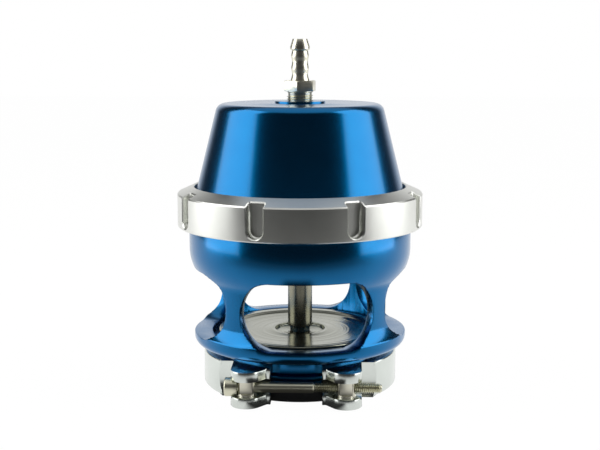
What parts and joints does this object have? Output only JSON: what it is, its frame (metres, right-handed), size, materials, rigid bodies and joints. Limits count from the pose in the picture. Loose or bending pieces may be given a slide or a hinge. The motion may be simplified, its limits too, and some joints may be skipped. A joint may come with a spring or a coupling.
{
  "type": "blow-off valve",
  "caption": "Poppet blow-off valve with milled discharge windows, tapered spring cap, notched collar ring, hose barb and V-band clamp on a weld flange.",
  "frame": {"origin": "centre of the inlet bore in the plane of the weld face", "axes": "+Z along the valve axis towards the hose barb, -Y towards the clamp screw, +X towards the screw's threaded end"},
  "size_m": [0.0948, 0.0948, 0.1339],
  "materials": {
    "blue_anodised": "clear blue anodised, glossy, turned",
    "turned_aluminium": "fine turned, satin",
    "polished_aluminium": "polished",
    "bare_aluminium": "machined",
    "polished_steel": "polished, turned",
    "dark_steel": "ground",
    "screw_steel": "plain stainless",
    "spring_steel": "drawn wire",
    "zinc_steel": "zinc plated",
    "nickel_plate": "bright nickel",
    "bronze": "bored bronze",
    "black_rubber": "smooth moulded rubber"
  },
  "bodies": {
    "housing": {"weld_flange": "bare_aluminium", "flange_o_ring": "black_rubber", "valve_body": "blue_anodised", "stem_guide_bush": "bronze", "stem_seal": "black_rubber", "seal_circlip": "spring_steel", "diaphragm": "black_rubber", "outer_spring": "spring_steel", "inner_spring": "spring_steel", "cap": "blue_anodised", "collar_ring": "turned_aluminium", "hose_fitting": "nickel_plate"},
    "valve": {"valve_disc": "polished_steel", "valve_stem": "dark_steel", "disc_screw": "dark_steel", "diaphragm_plate": "bare_aluminium", "spring_cup": "bare_aluminium", "plate_washer": "zinc_steel", "stem_nut": "zinc_steel"},
    "clamp_left": {"clamp_half_left": "polished_aluminium"},
    "clamp_right": {"clamp_half_right": "polished_aluminium", "hinge_pin": "dark_steel"},
    "barrel_left": {"plain_barrel": "nickel_plate"},
    "barrel_right": {"threaded_barrel": "nickel_plate"},
    "screw": {"clamp_screw": "screw_steel"}
  },
  "joints": [
    {"name": "valve_lift", "type": "slide", "parent": "housing", "child": "valve", "axis": [0, 0, 1], "range_m": [0, 0.014], "stiffness_N_per_m": 3000, "springref_m": -0.01, "deforming": ["diaphragm", "outer_spring", "inner_spring"]},
    {"name": "clamp_left_open", "type": "hinge", "parent": "housing", "child": "clamp_left", "pos_m": [0, 0.0415, 0.0075], "axis": [0, 0, -1], "range_deg": [0, 3]},
    {"name": "clamp_right_open", "type": "hinge", "parent": "housing", "child": "clamp_right", "pos_m": [0, 0.0415, 0.0075], "axis": [0, 0, 1], "range_deg": [0, 3]},
    {"name": "barrel_left_turn", "type": "hinge", "parent": "clamp_left", "child": "barrel_left", "pos_m": [-0.0183, -0.036, 0.0075], "axis": [0, 0, 1], "range_deg": [0, 3]},
    {"name": "barrel_right_turn", "type": "hinge", "parent": "clamp_right", "child": "barrel_right", "pos_m": [0.0183, -0.036, 0.0075], "axis": [0, 0, -1], "range_deg": [0, 3]},
    {"name": "clamp_screw_turn", "type": "hinge", "parent": "barrel_left", "child": "screw", "pos_m": [0, -0.036, 0.0075], "axis": [1, 0, 0], "continuous": true}
  ],
  "couplings": [
    {"joint": "clamp_right_open", "follows": "clamp_left_open", "ratio": 1},
    {"joint": "barrel_left_turn", "follows": "clamp_left_open", "ratio": 1},
    {"joint": "barrel_right_turn", "follows": "clamp_left_open", "ratio": 1}
  ]
}
